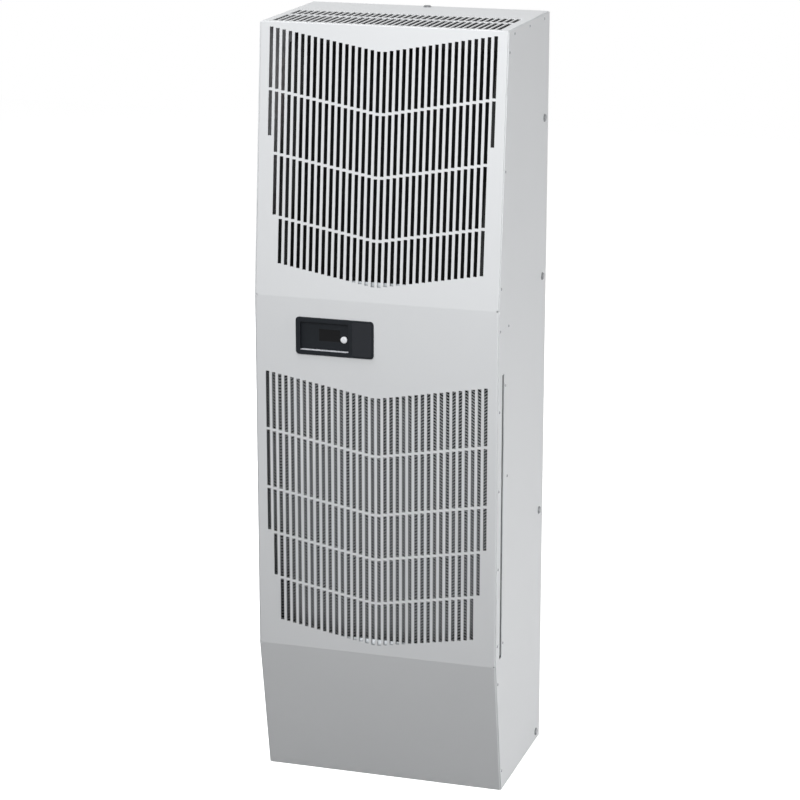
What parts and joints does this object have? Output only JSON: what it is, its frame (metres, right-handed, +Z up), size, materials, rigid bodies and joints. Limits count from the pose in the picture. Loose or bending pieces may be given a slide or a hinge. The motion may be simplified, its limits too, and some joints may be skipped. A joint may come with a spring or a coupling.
{
  "type": "enclosure air conditioner",
  "caption": "Slim wall-mounted cooling unit for an electrical enclosure: bent sheet cabinet, slotted vee grilles, top vents, small controller, slide-out filter and rear air openings.",
  "frame": {"origin": "on the floor plane under the middle of the bounding box", "axes": "+Z up, front grilles face -Y, rear mounting face towards +Y, +X to the side with the filter slot"},
  "size_m": [0.4372, 0.318, 1.3386],
  "materials": {
    "powder_coat": "fine textured light grey powder coat",
    "galvanised": "galvanised sheet",
    "zinc_steel": "zinc plated",
    "coil_black": "black corrosion coating",
    "aluminium": "mill finish",
    "copper": "drawn copper tube",
    "black_paint": "black enamel",
    "motor_core": "as cast",
    "rubber": "moulded rubber",
    "black_plastic": "fine moulded texture",
    "grey_plastic": "moulded",
    "can_aluminium": "drawn can",
    "display": "smoked pane",
    "button": "satin white"
  },
  "bodies": {
    "cabinet": {"front_panel": "powder_coat", "left_side_panel": "powder_coat", "right_side_panel": "powder_coat", "rear_panel": "powder_coat", "cover_rivets": "powder_coat", "guide_rivets": "powder_coat", "base_pan": "galvanised", "fan_bulkhead": "galvanised", "coil_shelf": "galvanised", "coil_top_bracket": "galvanised", "filter_upper_rail": "galvanised", "filter_lower_rail": "galvanised", "condenser_inlet_ring": "galvanised", "evaporator_inlet_ring": "galvanised", "control_box": "galvanised", "control_box_cover": "galvanised", "evaporator_left_plate": "galvanised", "evaporator_right_plate": "galvanised", "compressor_foot": "galvanised", "cover_screws": "zinc_steel", "mounting_inserts": "zinc_steel", "compressor_bolts": "zinc_steel", "inlet_guard": "zinc_steel", "condenser_fins": "coil_black", "condenser_left_plate": "coil_black", "condenser_right_plate": "coil_black", "evaporator_fins": "aluminium", "condenser_tubes": "copper", "evaporator_tubes": "copper", "discharge_line": "copper", "liquid_line": "copper", "capillary_tube": "copper", "suction_line": "copper", "filter_drier": "copper", "compressor_shell": "black_paint", "compressor_cap": "black_paint", "suction_accumulator": "black_paint", "condenser_motor": "black_paint", "evaporator_motor": "black_paint", "partition": "black_paint", "compressor_core": "motor_core", "compressor_grommets": "rubber", "wiring_grommet": "rubber", "mounting_gasket": "rubber", "controller_bezel": "black_plastic", "controller_module": "black_plastic", "compressor_terminal_cover": "black_plastic", "contactor": "black_plastic", "terminal_block": "black_plastic", "drip_tray": "grey_plastic", "drain_tube": "grey_plastic", "run_capacitor": "can_aluminium", "display_window": "display"},
    "air_filter": {"filter_frame": "aluminium", "filter_mesh": "aluminium"},
    "condenser_rotor": {"condenser_impeller": "black_plastic", "condenser_shaft": "zinc_steel"},
    "evaporator_rotor": {"evaporator_impeller": "black_plastic", "evaporator_shaft": "zinc_steel"},
    "mode_button": {"mode_button": "button"}
  },
  "joints": [
    {"name": "filter_slide", "type": "slide", "parent": "cabinet", "child": "air_filter", "axis": [1, 0, 0], "range_m": [0, 0.42]},
    {"name": "condenser_spin", "type": "hinge", "parent": "cabinet", "child": "condenser_rotor", "pos_m": [0, -0.04, 0.64], "axis": [0, 1, 0], "continuous": true},
    {"name": "evaporator_spin", "type": "hinge", "parent": "cabinet", "child": "evaporator_rotor", "pos_m": [0, 0.11, 1.08], "axis": [0, 1, 0], "continuous": true},
    {"name": "mode_press", "type": "slide", "parent": "cabinet", "child": "mode_button", "axis": [0, 1, 0], "range_m": [0, 0.0015], "stiffness_N_per_m": 600}
  ]
}
